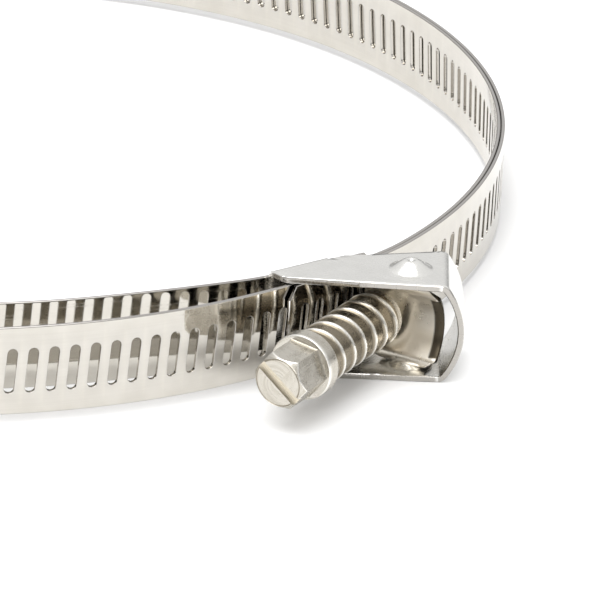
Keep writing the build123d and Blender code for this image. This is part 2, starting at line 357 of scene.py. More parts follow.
class StripShell(Shell):
    def __init__(self, chain):
        super().__init__()
        self.chain = chain

    def at(self, along, across, outward, normal, wear_and_painted_light=0.0):
        """Vertex at a place on the strip. normal is given along, across and outward."""
        centre, out = self.chain.at(along)
        forward = Vector((out.y, -out.x, 0))
        point = centre + out * outward + UP * across
        turned = forward * normal[0] + UP * normal[1] + out * normal[2]
        place = (along, across, outward)
        return self.vertex(place, point, place, wear_and_painted_light, turned.normalized())

    def edge_rows(self, alongs, side, width_share=1.0):
        """Rows over one long edge of the strip, from its outer face to its inner face."""
        mid = ROUND_MID * EDGE_ROUND
        profile = [
            (FACE_HALF, STRIP_HALF, (0, 0, 1), 0.0),
            (STRIP_WIDTH / 2 - mid, STRIP_HALF - mid, (0, 0.7, 0.7), 1.0),
            (STRIP_WIDTH / 2, STRIP_HALF - EDGE_ROUND, (0, 1, 0), 1.0),
            (STRIP_WIDTH / 2, EDGE_ROUND - STRIP_HALF, (0, 1, 0), 1.0),
            (STRIP_WIDTH / 2 - mid, mid - STRIP_HALF, (0, 0.7, -0.7), 1.0),
            (FACE_HALF, -STRIP_HALF, (0, 0, -1), 0.0),
        ]
        rows = []
        for across, outward, normal, wear_and_painted_light in profile:
            turned = (normal[0], normal[1] * side, normal[2])
            rows.append(
                [self.at(a, across * side * width_share, outward, turned, wear_and_painted_light) for a in alongs]
            )
        return rows

    def section(self, along, width_share=1.0):
        """Closed row of vertices round the strip."""
        heights = [-FACE_HALF] + SIDE_HEIGHTS + [FACE_HALF]
        ring = [self.at(along, h * width_share, STRIP_HALF, (0, 0, 1)) for h in heights[:-1]]
        ring += [row[0] for row in self.edge_rows([along], 1, width_share)]
        back = heights[-2:0:-1]
        ring += [self.at(along, h * width_share, -STRIP_HALF, (0, 0, -1)) for h in back]
        ring += [row[0] for row in reversed(self.edge_rows([along], -1, width_share)[1:])]
        return ring

    def plain(self, alongs, width_shares):
        rings = [self.section(a, w) for a, w in zip(alongs, width_shares)]
        self.fill(rings, closed=True)
        return rings

    def slotted_cell(self, middle):
        """One pitch of the strip with its leaning slot."""
        half_pitch = SLOT_PITCH / 2
        border = [(half_pitch, h) for h in SIDE_HEIGHTS]
        border += [(half_pitch, FACE_HALF)]
        border += [(half_pitch * share, FACE_HALF) for share in TOP_SHARES]
        border += [(-half_pitch, FACE_HALF)]
        border += [(-half_pitch, h) for h in reversed(SIDE_HEIGHTS)]
        border += [(-half_pitch, -FACE_HALF)]
        border += [(-half_pitch * share, -FACE_HALF) for share in TOP_SHARES]
        border += [(half_pitch, -FACE_HALF)]
        rounds = len(TOP_SHARES) + 2
        outline = [(SLOT_WIDTH / 2, h, 0.0) for h in SIDE_HEIGHTS]
        outline += self.slot_end(1, rounds)
        outline += [(-SLOT_WIDTH / 2, h, pi) for h in reversed(SIDE_HEIGHTS)]
        outline += self.slot_end(-1, rounds)
        lean = radians(SLOT_LEAN)
        mid = ROUND_MID * SLOT_ROUND
        layers = [
            (SLOT_ROUND, STRIP_HALF, (0, 1), 0.3),
            (mid, STRIP_HALF - mid, (0.7, 0.7), 1.0),
            (0, STRIP_HALF - SLOT_ROUND, (1, 0), 0.3),
            (0, SLOT_ROUND - STRIP_HALF, (1, 0), 0.3),
            (mid, mid - STRIP_HALF, (0.7, -0.7), 1.0),
            (SLOT_ROUND, -STRIP_HALF, (0, -1), 0.3),
        ]
        rows = [[self.at(middle + a, h, STRIP_HALF, (0, 0, 1)) for a, h in border]]
        for grow, outward, tilt, wear_and_painted_light in layers:
            row = []
            for a, h, turn in outline:
                a += cos(turn) * grow
                h += sin(turn) * grow
                inward = -cos(turn + lean) * tilt[0], -sin(turn + lean) * tilt[0]
                place = a * cos(lean) - h * sin(lean), a * sin(lean) + h * cos(lean)
                normal = (inward[0], inward[1], tilt[1])
                row.append(self.at(middle + place[0], place[1], outward, normal, wear_and_painted_light))
            rows.append(row)
        rows.append([self.at(middle + a, h, -STRIP_HALF, (0, 0, -1)) for a, h in border])
        self.fill(rows, closed=True)
        alongs = [middle + half_pitch * share for share in (1,) + TOP_SHARES + (-1,)]
        for side in (1, -1):
            self.fill(self.edge_rows(alongs, side))

    @staticmethod
    def slot_end(side, rounds):
        """Points round one end of a slot, from its right side to its left side for the top."""
        points = []
        for step in range(1, rounds + 1):
            turn = pi * step / (rounds + 1)
            if side < 0:
                turn += pi
            across = side * SLOT_STRAIGHT + SLOT_WIDTH / 2 * sin(turn)
            points.append((SLOT_WIDTH / 2 * cos(turn), across, turn))
        return points


def build_strip():
    chain, slots_from = strip_chain()
    shell = StripShell(chain)
    total = chain.length()
    count = int((total - TIP_MARGIN - slots_from) / SLOT_PITCH) + 1
    for i in range(count):
        shell.slotted_cell(total - TIP_MARGIN - i * SLOT_PITCH)
    plain_end = total - TIP_MARGIN - (count - 0.5) * SLOT_PITCH
    cut_share = 1 - 2 * TIP_CHAMFER / STRIP_WIDTH
    steps = ceil((plain_end - TIP_CHAMFER) / PLAIN_STEP)
    alongs = [0.0, TIP_CHAMFER]
    alongs += [TIP_CHAMFER + (plain_end - TIP_CHAMFER) * i / steps for i in range(1, steps + 1)]
    lead = shell.plain(alongs, [cut_share] + [1.0] * (len(alongs) - 1))
    tip_share = 1 - 2 * TIP_CUT / STRIP_WIDTH
    tip = shell.plain([total - TIP_MARGIN + SLOT_PITCH / 2, total], [1.0, tip_share])
    shell.faces.append(lead[0])
    shell.faces.append(tip[-1])
    return shell.build("slotted_strip")


# ---- pressed sheets --------------------------------------------------------------------------
def smooth_step(low, high, value):
    share = min(1.0, max(0.0, (value - low) / (high - low)))
    return share * share * (3 - 2 * share)


DOME_HEIGHT = {1: 1.5, -1: 1.3}  # top and bottom flange
DOME_CROWN = 0.9           # radius of the top of the dome
DOME_FOOT = 3.3            # radius where the dome runs out into the sheet
DOME_CONE = 0.7            # share of a straight cone in the dome's flank, the rest is rounded
PIT_FLOOR = 0.15           # radii of the punch mark's floor and rim
PIT_RADIUS = 0.75
PIT_DEPTH = 0.42
# radii of the rows of points over a flange's dome
DOME_RINGS = [0.12 * i for i in range(1, 12)] + [1.6 + 0.25 * i for i in range(11)]
FLAT_RINGS = (0.2, 0.4, 0.6, 0.8, 1.0)  # shares of the way from the dome to the band
RIM_BAND = 0.2             # narrow band along the sheet's edge


def dome_rise(side, distance):
    """Height of a flange's dome, with the punch mark in the top one, by distance from the pivot."""
    slope = min(1.0, max(0.0, (distance - DOME_CROWN) / (DOME_FOOT - DOME_CROWN)))
    share = DOME_CONE * slope + (1 - DOME_CONE) * smooth_step(DOME_CROWN, DOME_FOOT, distance)
    rise = DOME_HEIGHT[side] * (1 - share)
    if side > 0:
        rise -= PIT_DEPTH * (1 - smooth_step(PIT_FLOOR, PIT_RADIUS, distance))
    return rise


def arc_profile(centre, radius, start, end, count):
    """Points on an arc in a wall's section, angles in degrees."""
    points = []
    for i in range(count + 1):
        angle = radians(start + (end - start) * i / count)
        points.append((centre[0] + radius * cos(angle), centre[1] + radius * sin(angle)))
    return points


FLANGE_MID = CHANNEL_HEIGHT / 2 + SHEET / 2
BASE_MID_Y = BASE_REAR_Y - SHEET / 2
BASE_BEND = 0.6            # bend radii at the middle of the sheet
END_BEND = 1.0
BEND_STEPS = 6
LEVEL_STEP = 1.2           # spacing of the base wall's rows
BOW_STEPS = 30
EDGE_STEP = 0.55           # spacing of points along the flanges' outline
NOSE_RADIUS = 0.9
NOSE_STEPS = 6
REAR_BLEND = 0.155         # share of the rear edge over which it leaves the base wall's bend
FLANGE_BURR = 0.05         # unevenness of the cut edges
WALL_BURR = 0.08
BURR_SCALE = 0.3           # waves of the burr per millimetre
BURR_LEVEL = 9.0           # sets the two flanges' burrs apart
FLANGE_SEED = 3.0
WALL_SEED = 7.0
WALL_LENGTH = (WALL_FRONT - WALL_TAIL).length
WALL_ALONG = (WALL_FRONT - WALL_TAIL).normalized()
WALL_OUTWARD = Vector((-WALL_ALONG.y, WALL_ALONG.x, 0))
PIVOT_FLAT = Vector((PIVOT.x, PIVOT.y, 0))


def base_wall_profile():
    """(distance from the wall's middle plane toward the front, height), from top to bottom."""
    straight_end = FLANGE_MID - BASE_BEND
    top = arc_profile((BASE_BEND, straight_end), BASE_BEND, 90, 180, BEND_STEPS)
    bottom = [(a, -h) for a, h in reversed(top)]
    levels = [straight_end - LEVEL_STEP * i for i in range(1, int(2 * straight_end / LEVEL_STEP))]
    return top + [(0.0, h) for h in levels] + bottom


def end_wall_profile():
    """(distance outward from the flange's edge line, height), from top to bottom."""
    outer_half = CHANNEL_HEIGHT / 2 + SHEET
    outer_radius = (outer_half**2 + END_WALL_BOW**2) / (2 * END_WALL_BOW)
    centre = END_WALL_BOW - outer_radius
    radius = outer_radius - SHEET / 2
    height = FLANGE_MID - END_BEND
    bend_x = centre + sqrt((radius - END_BEND) ** 2 - height**2)
    lean = degrees(atan2(height, bend_x - centre))
    top = arc_profile((bend_x, height), END_BEND, 90, lean, BEND_STEPS)
    bow = arc_profile((centre, 0), radius, lean, -lean, BOW_STEPS)
    bottom = [(a, -h) for a, h in reversed(top)]
    return top + bow[1:-1] + bottom


def sampled(start, end, include_end=False):
    """Evenly spaced points on a line, without its end unless asked for."""
    count = max(1, ceil((end - start).length / EDGE_STEP))
    points = [start.lerp(end, i / count) for i in range(count)]
    return points + [end] if include_end else points


def banded(start, end):
    """Points along a fold, with one close to each end."""
    inset = (end - start).normalized() * RIM_BAND
    return [start] + sampled(start + inset, end - inset, True) + [end]


def burr(point, seed):
    """Smooth unevenness of a sheared edge, from -1 to 1."""
    return noise.noise(Vector(point) * BURR_SCALE + Vector((seed, 0, 0)))


END_PROFILE = end_wall_profile()
FOLD_INSET = END_PROFILE[0][0]


def fold_spot(point, z):
    """Point of the end wall's fold line, drawn back by the slant of its front edge."""
    short = FRONT_SLANT * (FLANGE_MID - z) / (2 * FLANGE_MID)
    return WALL_TAIL + (point - WALL_TAIL) * (1 - short / WALL_LENGTH) + WALL_OUTWARD * FOLD_INSET


def flange_rim(side, base_line, end_line):
    """Points round a flange with 1 for those on a cut edge and 0 for those on a fold."""
    fold = [fold_spot(p, side * FLANGE_MID) for p in end_line]
    corner, rear = base_line[0], base_line[-1]
    rear_top = Vector((BASE_X[1], BASE_REAR_Y, 0)).lerp(WALL_TAIL, REAR_BLEND)
    cut_from = NOSE + (fold[-1] - NOSE).normalized() * NOSE_RADIUS
    cut_to = NOSE + (corner - NOSE).normalized() * NOSE_RADIUS
    rim = base_line[:-1] + sampled(rear, rear_top)
    rim += sampled(rear_top, fold[0]) + fold[:-1]
    rim += sampled(fold[-1], cut_from)
    for i in range(NOSE_STEPS):
        share = i / NOSE_STEPS
        rim.append(cut_from.lerp(NOSE, share).lerp(NOSE.lerp(cut_to, share), share))
    rim += sampled(cut_to, corner)
    folded = {tuple(p) for p in base_line + fold}
    marked = []
    for p in rim:
        if tuple(p) in folded:
            marked.append((p, 0.0))
        else:
            away = (p - PIVOT_FLAT).normalized()
            uneven = FLANGE_BURR * burr((p.x, p.y, side * BURR_LEVEL), FLANGE_SEED)
            # cut edges marked 1 get painted shade
            marked.append((p + away * uneven, 1.0))
    return marked


class HousingShell(Shell):
    """Middle of the housing's sheet."""

    def at(self, x, y, z, wear_and_painted_light=0.0):
        place = (x, y, z)
        return self.vertex(place, place, place, wear_and_painted_light)

    def flange(self, side, rim):
        """Rings from the pivot dome out to the rim."""
        level = side * FLANGE_MID
        aways = [(p - PIVOT_FLAT).normalized() for p, _ in rim]
        rings = []
        for radius in DOME_RINGS:
            spots = [PIVOT_FLAT + away * radius for away in aways]
            rings.append([self.at(s.x, s.y, level + dome_rise(side, radius)) for s in spots])
        for share in FLAT_RINGS:
            ring = []
            for (p, _), away in zip(rim, aways):
                spot = (PIVOT_FLAT + away * DOME_RINGS[-1]).lerp(p - away * RIM_BAND, share)
                ring.append(self.at(spot.x, spot.y, level))
            rings.append(ring)
        rings.append([self.at(p.x, p.y, level, wear_and_painted_light) for p, wear_and_painted_light in rim])
        hub = self.at(PIVOT_FLAT.x, PIVOT_FLAT.y, level + dome_rise(side, 0))
        for i in range(len(rim)):
            self.faces.append([hub, rings[0][i], rings[0][(i + 1) % len(rim)]])
        self.fill(rings, closed=True)

    def end_wall(self, end_line):
        """Rows from the top fold to the bottom one, from the wall's rear end to its front."""
        rows = []
        for number, p in enumerate(end_line):
            at_edge = number in (0, len(end_line) - 1)
            row = []
            for place, (out, z) in enumerate(END_PROFILE):
                spot = fold_spot(p, z) + WALL_OUTWARD * (out - FOLD_INSET)
                is_cut = at_edge and 0 < place < len(END_PROFILE) - 1
                if is_cut:
                    spot = spot + WALL_ALONG * (WALL_BURR * burr((spot.x, spot.y, z), WALL_SEED))
                # the wall's cut ends marked 1 get painted shade
                row.append(self.at(spot.x, spot.y, z, 1.0 if is_cut else 0.0))
            rows.append(row)
        self.fill(rows)


def build_housing():
    front_y = BASE_MID_Y - BASE_BEND
    base_line = banded(Vector((BASE_X[0], front_y, 0)), Vector((BASE_X[1], front_y, 0)))
    end_line = banded(WALL_TAIL, WALL_FRONT)
    shell = HousingShell()
    for side in (1, -1):
        shell.flange(side, flange_rim(side, base_line, end_line))
    profile = base_wall_profile()
    shell.fill([[shell.at(p.x, BASE_MID_Y - inset, z) for inset, z in profile] for p in base_line])
    shell.end_wall(end_line)
    piece = shell.build("channel_housing")
    with_modifiers(piece, ("SOLIDIFY", thickened(piece, SHEET)))
    return sharpened(piece, SHEET_EDGE_ANGLE)


# ---- swivel bracket --------------------------------------------------------------------------
EAR_MID = CHANNEL_HEIGHT / 2 - EAR_GAP - SWIVEL_SHEET / 2
EAR_BEND = 0.9
EAR_DOME_CROWN = 0.4
UPPER_EAR_DOME = (2.2, 0.9)     # radius, height
LOWER_EAR_DOME = (3.4, 1.5)
EAR_STEPS = 14
EAR_TIP_TURN = 0.03        # radians, leaves the ear's round tip a little blunt
EAR_SHORTEST = 0.1         # least half width of a row of the ear
EAR_FLAT_SHARES = (0.35, 0.7)   # rows between the pivot and the bend
EAR_BEND_STEPS = 10
WIDENING_START = 0.25      # share of the bend where the ear starts to widen into the plate
PLATE_STEPS = 40
COLUMNS = 44
EDGE_COLUMN = 0.01         # share of the width taken by the narrow columns at the edges
LIP_WIDTH = 1.2            # outer edge of the plate, rolled slightly away from the head, with painted shade across it
LIP_DEPTH = 0.3
# width over which the lip's painted shade fades in
LIP_BLEND = 0.3


def swivel_profile():
    """Rows of the bracket, from the tip of the upper ear to the tip of the lower one.

    A row is (distance along the screw from the pivot, height, kind, share of the widening).
    """
    centre = SWIVEL_BOW_TOP - SWIVEL_BOW_RADIUS
    bend_z = EAR_MID - EAR_BEND
    bend_x = centre + sqrt((SWIVEL_BOW_RADIUS + EAR_BEND) ** 2 - bend_z**2)
    lean = degrees(asin(bend_z / (SWIVEL_BOW_RADIUS + EAR_BEND)))
    upper = []
    for i in range(1, EAR_STEPS + 1):
        share = i / EAR_STEPS
        turn = pi / 2 * share + EAR_TIP_TURN * (1 - share)
        upper.append((EAR_RADIUS * cos(turn), EAR_MID, "ear", 0.0))
    upper += [(bend_x * share, EAR_MID, "ear", 0.0) for share in EAR_FLAT_SHARES]
    bend = arc_profile((bend_x, bend_z), EAR_BEND, 90, 180 + lean, EAR_BEND_STEPS)
    for i, (along, z) in enumerate(bend):
        widening = smooth_step(WIDENING_START, 1.0, i / EAR_BEND_STEPS)
        upper.append((along, z, "bend", widening))
    bow = arc_profile((centre, 0), SWIVEL_BOW_RADIUS, lean, -lean, PLATE_STEPS)
    plate = [(along, z, "plate", 1.0) for along, z in bow[1:-1]]
    return upper + plate + [(along, -z, *rest) for along, z, *rest in reversed(upper)]


def swivel_sides(along, widening):
    """Where a row of the bracket starts and ends across the screw."""
    half = sqrt(max(EAR_RADIUS**2 - max(along, 0) ** 2, EAR_SHORTEST**2))
    inner = -half + (half - SWIVEL_INNER_EDGE) * widening
    return inner, half + (SWIVEL_OUTER_EDGE - half) * widening


def build_swivel():
    shell = Shell()
    shares = [0, EDGE_COLUMN] + [i / COLUMNS for i in range(1, COLUMNS)] + [1 - EDGE_COLUMN, 1]
    rows = []
    for along, z, kind, widening in swivel_profile():
        low, high = swivel_sides(along, widening)
        row = []
        for share in shares:
            across = low + (high - low) * share
            # the bracket's cut edges get painted shade
            wear_and_painted_light = 1.0 if share in (0, 1) else 0.0
            lift = 0.0
            roll = 0.0
            if kind == "ear":
                radius, rise = UPPER_EAR_DOME if z > 0 else LOWER_EAR_DOME
                lift = rise * (1 - smooth_step(EAR_DOME_CROWN, radius, hypot(along, across)))
            if kind == "plate":
                lip = high - LIP_WIDTH
                roll = LIP_DEPTH * max(0.0, 1 - (high - across) / LIP_WIDTH) ** 2
                # painted shade across the lip
                wear_and_painted_light = max(wear_and_painted_light, smooth_step(lip - LIP_BLEND, lip, across))
            spot = PIVOT + SCREW_AXIS * (along + roll) + SCREW_SIDE * across + UP * (z + lift)
            row.append(shell.vertex(spot, spot, (across, z, along), wear_and_painted_light))
        rows.append(row)
    shell.fill(rows)
    piece = shell.build("swivel_plate")
    hole = bmesh.new()
    size = {"radius1": JOURNAL_HOLE * MM, "radius2": JOURNAL_HOLE * MM, "depth": CUTTER_REACH * MM}
    bmesh.ops.create_cone(hole, cap_ends=True, segments=HOLE_SIDES, **size)
    turn = SCREW_AXIS.to_track_quat("Z", "Y").to_matrix().to_4x4()
    cut_out(piece, hole, FOOT, turn, ("SOLIDIFY", thickened(piece, SWIVEL_SHEET)))
    return sharpened(piece, SHEET_EDGE_ANGLE)


# ---- worm screw ------------------------------------------------------------------------------
TURNS_AROUND = 180         # vertices round the screw
THREAD_STEP = 0.11
CREST_HALF = 0.10          # half width of the crest
FLANK = 0.55               # from the crest's edge to the foot of the valley
RUN_OUT = 1.3              # length over which the thread fades at the head's end
THREAD_BRIGHT = (0.75, 1.0)     # thread heights over which the crest turns bright with painted highlight
THREAD_SHADE_FADE = (0.35, 0.8)      # and over which the valley's painted shade ends
FACE_RINGS = (0.6, 1.2, 1.8, 2.4, 3.0, 3.4)
GROOVE_DEPTH = 0.09        # fine groove round the head's face
# painted shade in the groove round the head's face
GROOVE_SHADE = -0.8
CHAMFER_SPAN = (0.04, 1.94)     # distances from the face
CHAMFER_STEPS = 30
CHAMFER_BLEND = 0.10       # rounding between the chamfer and the flats
CHAMFER_HIGHLIGHT = 0.12        # width of the painted highlight there
HEX_LEVELS = (2.6, 3.4, 4.2, 5.0, 5.8, HEX_HEIGHT - 0.25)
HEX_FILLET = 0.12          # the hexagon swells this much where it meets the collar
# painted highlight where the hexagon meets the collar
HEX_FOOT_HIGHLIGHT = 0.3
COLLAR_TOP_ROUND = 0.18
COLLAR_ROUND = 0.25
COLLAR_LEVELS = (7.3, 8.1, COLLAR_END - 0.3)
# painted highlight on the collar's roundings
ROUND_HIGHLIGHT = 0.8
ROUND_TURNS = (0, pi / 6, pi / 3, pi / 2)


def hex_radius(angle):
    """Distance from the axis to the hexagon at an angle in degrees."""
    from_corner = (angle - SCREW_TURN + 30) % 60 - 30
    return HEX_ACROSS_FLATS / 2 / cos(radians(30 - abs(from_corner)))


def soft_min(a, b, blend):
    """The lesser of two values, rounded over where they are closer than blend."""
    share = max(0.0, min(1.0, 0.5 + (b - a) / (2 * blend)))
    return b * (1 - share) + a * share - blend * share * (1 - share)


def thread_radius(along, angle):
    """Rolled worm thread, wide valleys and narrow crests: radius, and height from 0 to 1."""
    turn = (along - THREAD_START - RUN_OUT) / SLOT_PITCH - angle / 360
    from_crest = abs(turn - round(turn)) * SLOT_PITCH
    share = 1 - smooth_step(CREST_HALF, CREST_HALF + FLANK, from_crest)
    fade = smooth_step(THREAD_START, THREAD_START + RUN_OUT, along)
    fade *= 1 - smooth_step(THREAD_END - RUN_OUT / 2, THREAD_END, along)
    return ROOT_RADIUS + (THREAD_RADIUS - ROOT_RADIUS) * share * fade, share * fade


def thread_painted_light(along, angle):
    """Painted highlight on the crests, painted shade in the valleys."""
    height = thread_radius(along, angle)[1]
    return smooth_step(*THREAD_BRIGHT, height) - 1 + smooth_step(*THREAD_SHADE_FADE, height)


class ScrewRows(list):
    """(distance from the face, radius by angle, painted highlight and shade by angle) of each row,
    from head to tail.
    """

    def add(self, along, radius, wear_and_painted_light):
        self.append((along, radius, wear_and_painted_light))

    def ring(self, along, radius, wear_and_painted_light=0.0):
        self.add(along, lambda angle: radius, lambda angle: wear_and_painted_light)

    def rings(self, *places):
        for along, radius in places:
            self.ring(along, radius)

    def chamfer(self, along):
        cone = HEX_CHAMFER_RADIUS + tan(radians(HEX_CHAMFER_SLOPE)) * along
        self.add(
            along,
            lambda angle: soft_min(cone, hex_radius(angle), CHAMFER_BLEND),
            lambda angle: max(0.0, 1 - abs(cone - hex_radius(angle)) / CHAMFER_HIGHLIGHT),
        )

    def thread(self, along):
        self.add(
            along,
            lambda angle: thread_radius(along, angle)[0],
            lambda angle: thread_painted_light(along, angle),
        )


def head_rows(rows):
    """The slotted face with its groove, the chamfered hexagon and the collar."""
    rows.rings(*[(0.0, radius) for radius in FACE_RINGS])
    rows.ring(0.0, HEX_CHAMFER_RADIUS - 0.26)
    rows.ring(GROOVE_DEPTH, HEX_CHAMFER_RADIUS - 0.20, GROOVE_SHADE)
    rows.ring(GROOVE_DEPTH, HEX_CHAMFER_RADIUS - 0.12, GROOVE_SHADE)
    rows.ring(0.0, HEX_CHAMFER_RADIUS - 0.05)
    start, end = CHAMFER_SPAN
    for i in range(CHAMFER_STEPS + 1):
        rows.chamfer(start + (end - start) * i / CHAMFER_STEPS)
    for along in HEX_LEVELS:
        rows.add(along, hex_radius, lambda angle: 0.0)
    widest = COLLAR_RADIUS - 0.1
    rows.add(
        HEX_HEIGHT,
        lambda angle: min(hex_radius(angle) + HEX_FILLET, widest),
        lambda angle: HEX_FOOT_HIGHLIGHT,
    )
    rows.ring(HEX_HEIGHT + 0.02, COLLAR_RADIUS - 0.16)
    for turn in ROUND_TURNS:
        along = HEX_HEIGHT + COLLAR_TOP_ROUND * (1 - cos(turn))
        rows.ring(along, COLLAR_RADIUS - COLLAR_TOP_ROUND * (1 - sin(turn)), ROUND_HIGHLIGHT)
    rows.rings(*[(along, COLLAR_RADIUS) for along in COLLAR_LEVELS])
    for turn in reversed(ROUND_TURNS):
        along = COLLAR_END - COLLAR_ROUND * (1 - cos(turn))
        rows.ring(along, COLLAR_RADIUS - COLLAR_ROUND * (1 - sin(turn)), ROUND_HIGHLIGHT)


def shank_rows(rows):
    """The neck, the worm thread, the shoulder, the journal and the tail."""
    rows.rings(
        (COLLAR_END, NECK_RADIUS + 0.25),
        (COLLAR_END + 0.08, NECK_RADIUS + 0.07),
        (COLLAR_END + 0.25, NECK_RADIUS),
        (THREAD_START - 0.25, NECK_RADIUS),
        (THREAD_START - 0.08, NECK_RADIUS + 0.1),
    )
    count = ceil((THREAD_END - THREAD_START) / THREAD_STEP)
    for i in range(count + 1):
        rows.thread(THREAD_START + (THREAD_END - THREAD_START) * i / count)
    rows.rings(
        (THREAD_END + 0.1, SHOULDER_RADIUS),
        (SHOULDER_END - 0.15, SHOULDER_RADIUS),
        (SHOULDER_END, SHOULDER_RADIUS - 0.15),
        (SHOULDER_END, JOURNAL_RADIUS + 0.05),
        (SHOULDER_END + 0.05, JOURNAL_RADIUS),
        (TAIL_START - 0.05, JOURNAL_RADIUS),
        (TAIL_START, JOURNAL_RADIUS + 0.05),
        (TAIL_START, TAIL_RADIUS - 0.15),
        (TAIL_START + 0.15, TAIL_RADIUS),
        (TAIL_END - 0.2, TAIL_RADIUS - 0.25),
        (TAIL_END, TAIL_RADIUS - 0.6),
        (TAIL_END, 1.2),
    )


def across_screw(angle):
    """Direction across the screw at an angle in degrees from straight up, toward SCREW_SIDE."""
    return UP * cos(radians(angle)) + SCREW_SIDE * sin(radians(angle))


def build_screw():
    shell = Shell()
    angles = [SCREW_TURN + 360 * i / TURNS_AROUND for i in range(TURNS_AROUND)]
    rows = ScrewRows()
    head_rows(rows)
    shank_rows(rows)
    grid = []
    for number, (along, radius, wear_and_painted_light) in enumerate(rows):
        row = []
        for angle in angles:
            r = radius(angle)
            spot = HEAD_FACE + SCREW_AXIS * along + across_screw(angle) * r
            flow = (along, radians(angle) * r, r)
            row.append(shell.vertex((number, angle, 0), spot, flow, wear_and_painted_light(angle)))
        grid.append(row)
    shell.fill(grid, closed=True)
    face = shell.vertex((-1, 0, 0), HEAD_FACE, (0, 0, 0))
    tail = shell.vertex((-2, 0, 0), HEAD_FACE + SCREW_AXIS * TAIL_END, (TAIL_END, 0, 0))
    for row, hub in ((grid[0], face), (grid[-1], tail)):
        for i in range(TURNS_AROUND):
            shell.faces.append([row[i], row[(i + 1) % TURNS_AROUND], hub])
    piece = shell.build("slotted_worm_screw")
    slot = bmesh.new()
    bmesh.ops.create_cube(slot, size=1.0)
    width, depth = DRIVER_SLOT
    bmesh.ops.scale(slot, vec=(width * MM, CUTTER_REACH * MM, 2 * depth * MM), verts=slot.verts)
    along_slot = across_screw(SCREW_TURN + 90)
    across_slot = along_slot.cross(SCREW_AXIS)
    turn = Matrix((across_slot, along_slot, SCREW_AXIS)).transposed().to_4x4()
    cut_out(piece, slot, HEAD_FACE, turn)
    return sharpened(piece, SCREW_EDGE_ANGLE)


# ---- materials -------------------------------------------------------------------------------
class Nodes:
    """Short calls for a material's node tree."""

    def __init__(self, name):
        self.material = bpy.data.materials.new(name)
        self.material.use_nodes = True
        self.tree = self.material.node_tree
        self.shader = self.tree.nodes["Principled BSDF"]
        self.shader.inputs["Metallic"].default_value = 1.0

    def node(self, kind, links=None, **settings):
        made = self.tree.nodes.new(kind)
        for key, value in settings.items():
            setattr(made, key, value)
        for key, source in (links or {}).items():
            self.tree.links.new(source, made.inputs[key])
        return made

    def flow(self):
        return self.node("ShaderNodeAttribute", attribute_name="flow").outputs["Vector"]

    def wear_and_painted_light(self):
        return self.node("ShaderNodeAttribute", attribute_name="wear_and_painted_light").outputs["Fac"]

    def noise(self, vector, scale, detail, stretch=(1, 1, 1)):
        """Noise over millimetre coordinates, scale in bumps per millimetre."""
        mapped = self.node("ShaderNodeMapping", {"Vector": vector})
        mapped.inputs["Scale"].default_value = [scale * s for s in stretch]
        made = self.node("ShaderNodeTexNoise", {"Vector": mapped.outputs["Vector"]})
        made.inputs["Scale"].default_value = 1.0
        made.inputs["Detail"].default_value = detail
        return made.outputs["Fac"]

    def span(self, value, from_low, from_high, to_low=0.0, to_high=1.0):
        """A value carried from one range to another and kept inside it."""
        made = self.node("ShaderNodeMapRange", {"Value": value})
        made.inputs["From Min"].default_value = from_low
        made.inputs["From Max"].default_value = from_high
        made.inputs["To Min"].default_value = to_low
        made.inputs["To Max"].default_value = to_high
        return made.outputs["Result"]

    def math(self, operation, a, b):
        made = self.node("ShaderNodeMath", operation=operation)
        for socket, value in zip(made.inputs, (a, b)):
            if isinstance(value, (int, float)):
                socket.default_value = value
            else:
                self.tree.links.new(value, socket)
        return made.outputs["Value"]

    def blend(self, first, second, share):
        """Weighted sum of two values, share being the first one's weight."""
        first = self.math("MULTIPLY", first, share)
        return self.math("ADD", first, self.math("MULTIPLY", second, 1 - share))

    def mix(self, share, first, second):
        made = self.node("ShaderNodeMix", data_type="RGBA")
        self.tree.links.new(share, made.inputs["Factor"])
        for socket, value in ((made.inputs[6], first), (made.inputs[7], second)):
            if isinstance(value, tuple):
                socket.default_value = value + (1.0,)
            else:
                self.tree.links.new(value, socket)
        return made.outputs[2]

    def finish(self, color, roughness, height, bump, depth):
        for name, source in (("Base Color", color), ("Roughness", roughness)):
            self.tree.links.new(source, self.shader.inputs[name])
        bumped = self.node("ShaderNodeBump", {"Height": height})
        bumped.inputs["Strength"].default_value = bump
        bumped.inputs["Distance"].default_value = depth * MM
        self.tree.links.new(bumped.outputs["Normal"], self.shader.inputs["Normal"])
        return self.material


SPECK_SCALE = 2.2          # specks per millimetre
SCRATCH_STRETCH = (1.0, 22.0, 22.0)
SCRATCH_SPAN = (0.60, 0.68)     # noise values over which a scratch shows
TONE_SPAN = (0.38, 0.62)
ROUGH_SPAN = (0.35, 0.65)
CLOUD_IN_TONE = 0.65       # the rest of the tone comes from the grain's lines
CLOUD_IN_ROUGHNESS = 0.5   # the rest comes from the specks
SCRATCH_ROUGHNESS = 0.08
SCRATCH_HEIGHT = 0.35


